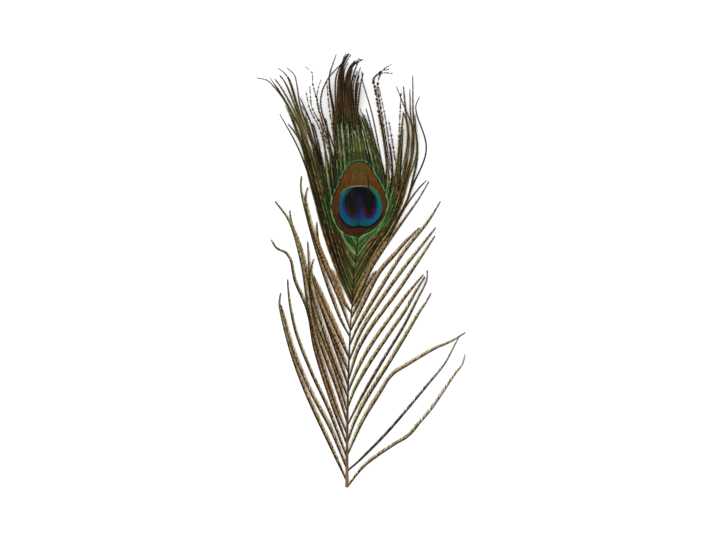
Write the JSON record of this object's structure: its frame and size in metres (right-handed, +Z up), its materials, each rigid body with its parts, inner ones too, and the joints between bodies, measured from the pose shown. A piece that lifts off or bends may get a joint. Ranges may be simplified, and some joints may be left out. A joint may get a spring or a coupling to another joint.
{
  "type": "peacock feather",
  "caption": "Trimmed peacock eye feather lying face up: shaft, loose barbs on both sides, hooked vane with the eye, and a ragged crown of strands.",
  "frame": {"origin": "middle of the feather's bounding box at its base, on the surface that it lies on", "axes": "+Y along the shaft from its cut end to the tip, +Z up out of the face that shows the eye, +X to the right of the eye seen from above"},
  "size_m": [0.1348, 0.281, 0.0095],
  "materials": {
    "shaft": "smooth keratin, dark brown near the eye and paler grey-brown at the cut end, faint satin shine",
    "eye_vane": "close combed barbs with metallic sheen: bronze, blue, green-blue and near-black rings in a field of green and olive",
    "barb": "bronze-brown fibres with olive and yellow-green glints and dark edges",
    "crown_strand": "dark brown beaded fibres with olive glints, nearly black at the tips"
  },
  "bodies": {
    "root": {"shaft": "shaft", "eye_vane_left": "eye_vane", "eye_vane_right": "eye_vane", "barb_right_01": "barb", "barb_right_02": "barb", "barb_right_03": "barb", "barb_right_04": "barb", "barb_right_05": "barb", "barb_right_06": "barb", "barb_right_07": "barb", "barb_right_08": "barb", "barb_right_09": "barb", "barb_right_10": "barb", "barb_right_11": "barb", "barb_right_12": "barb", "barb_right_13": "barb", "barb_left_01": "barb", "barb_left_02": "barb", "barb_left_03": "barb", "barb_left_04": "barb", "barb_left_05": "barb", "barb_left_06": "barb", "barb_left_07": "barb", "barb_left_08": "barb", "barb_left_09": "barb", "barb_left_10": "barb", "barb_left_11": "barb", "barb_left_12": "barb", "barb_left_13": "barb", "barb_left_14": "barb", "crown_01": "crown_strand", "crown_02": "crown_strand", "crown_03": "crown_strand", "crown_04": "crown_strand", "crown_05": "crown_strand", "crown_06": "crown_strand", "crown_07": "crown_strand", "crown_08": "crown_strand", "crown_09": "crown_strand", "crown_10": "crown_strand", "crown_11": "crown_strand", "crown_12": "crown_strand", "crown_13": "crown_strand", "crown_14": "crown_strand", "crown_15": "crown_strand", "crown_16": "crown_strand", "crown_17": "crown_strand", "crown_18": "crown_strand", "crown_19": "crown_strand", "crown_20": "crown_strand", "crown_21": "crown_strand", "crown_22": "crown_strand", "crown_23": "crown_strand", "crown_24": "crown_strand", "crown_25": "crown_strand", "crown_26": "crown_strand", "crown_27": "crown_strand", "crown_28": "crown_strand", "crown_29": "crown_strand", "crown_30": "crown_strand"}
  },
  "joints": []
}
